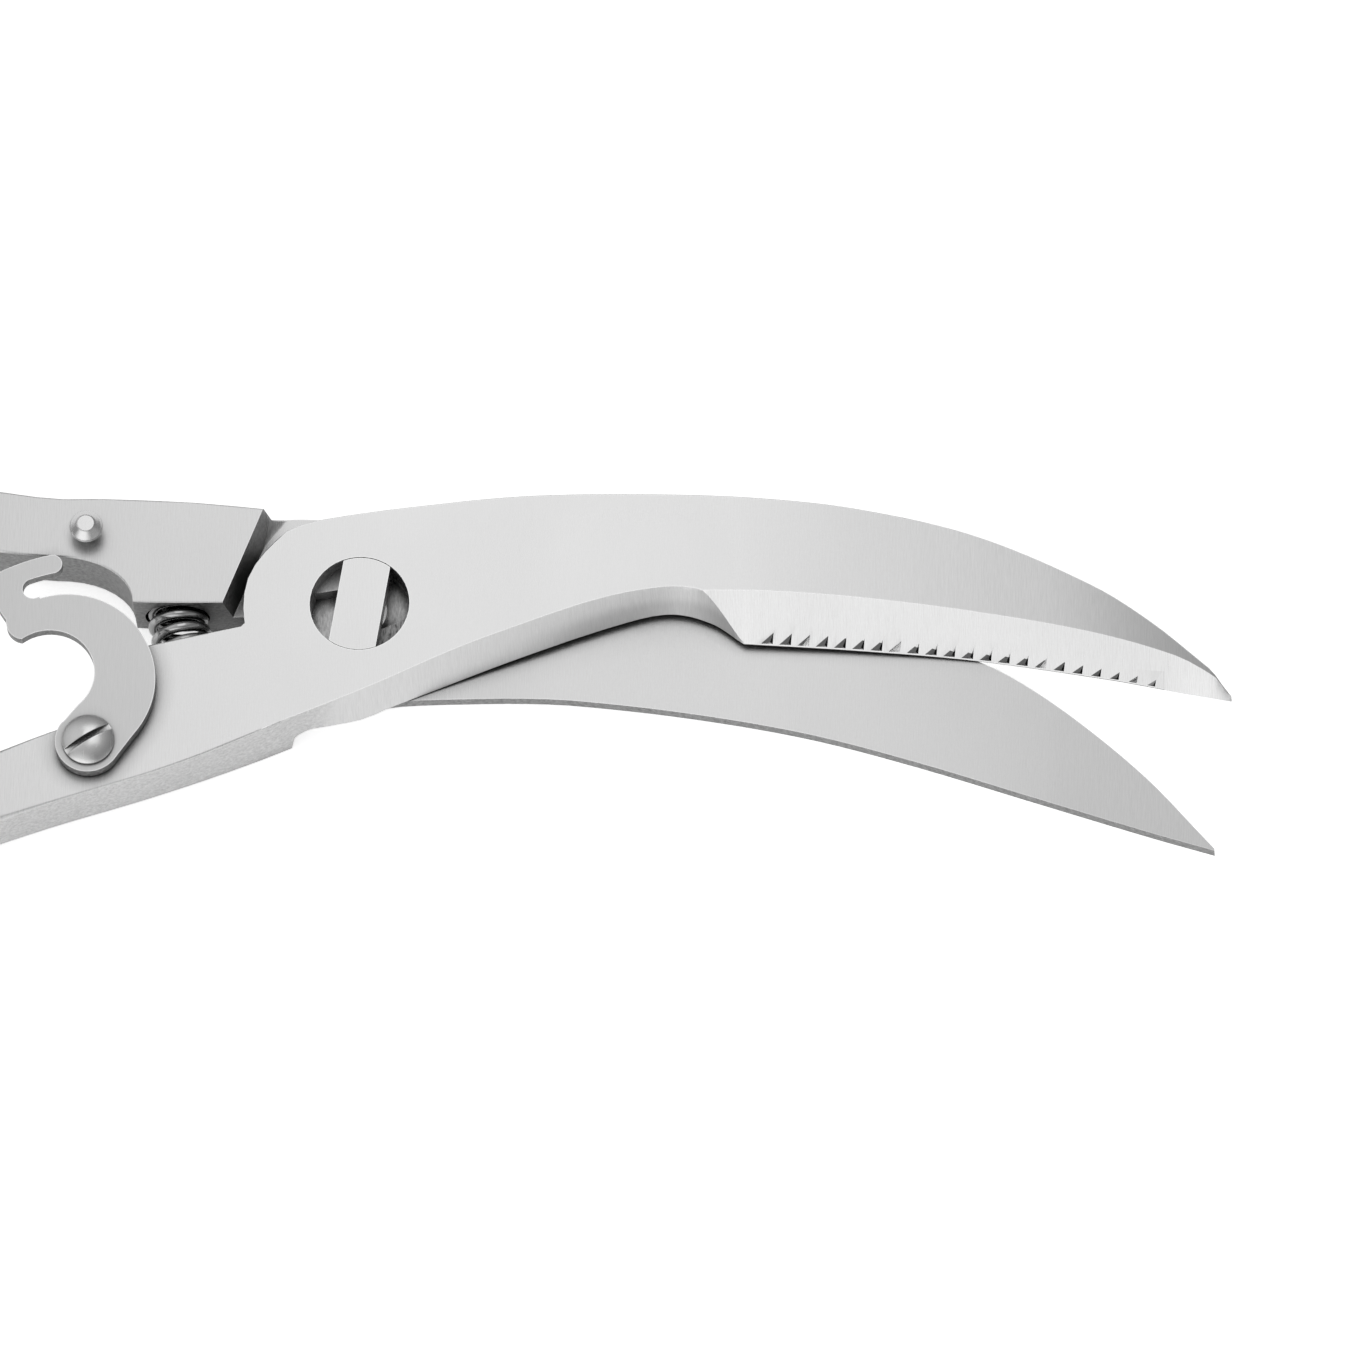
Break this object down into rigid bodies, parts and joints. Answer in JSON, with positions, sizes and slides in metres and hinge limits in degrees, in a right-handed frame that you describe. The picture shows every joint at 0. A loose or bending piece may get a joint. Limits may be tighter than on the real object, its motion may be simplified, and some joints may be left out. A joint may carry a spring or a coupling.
{
  "type": "poultry shears",
  "caption": "Take-apart steel poultry shears with a half-lap pivot, a saw-edged upper blade, a spring between the handles and a hook latch.",
  "frame": {"origin": "on the pivot axis at the back face that the shears lie on", "axes": "+Z along the pivot axis towards the latch side, +X towards the blade tips, +Y towards the back half's handle"},
  "size_m": [0.2448, 0.0648, 0.013],
  "materials": {
    "satin_steel": "satin, ground across the blade",
    "latch_steel": "fine tumbled satin",
    "fastener_steel": "turned, lightly tumbled",
    "spring_steel": "drawn wire, polished"
  },
  "bodies": {
    "front_body": {"front_half": "satin_steel", "latch_screw": "fastener_steel", "latch_washer": "fastener_steel"},
    "back_body": {"back_half": "satin_steel", "pivot_stud": "satin_steel", "catch_stud": "fastener_steel", "handle_spring": "spring_steel"},
    "latch_body": {"latch_hook": "latch_steel"}
  },
  "joints": [
    {"name": "blade_hinge", "type": "hinge", "parent": "front_body", "child": "back_body", "pos_m": [0, 0, 0], "axis": [0, 0, 1], "range_deg": [-17, 11.4], "stiffness_Nm_per_rad": 0.3, "deforming": ["handle_spring"]},
    {"name": "latch_hinge", "type": "hinge", "parent": "front_body", "child": "latch_body", "pos_m": [-0.032, -0.0184, 0], "axis": [0, 0, 1], "range_deg": [-14, 40]}
  ]
}
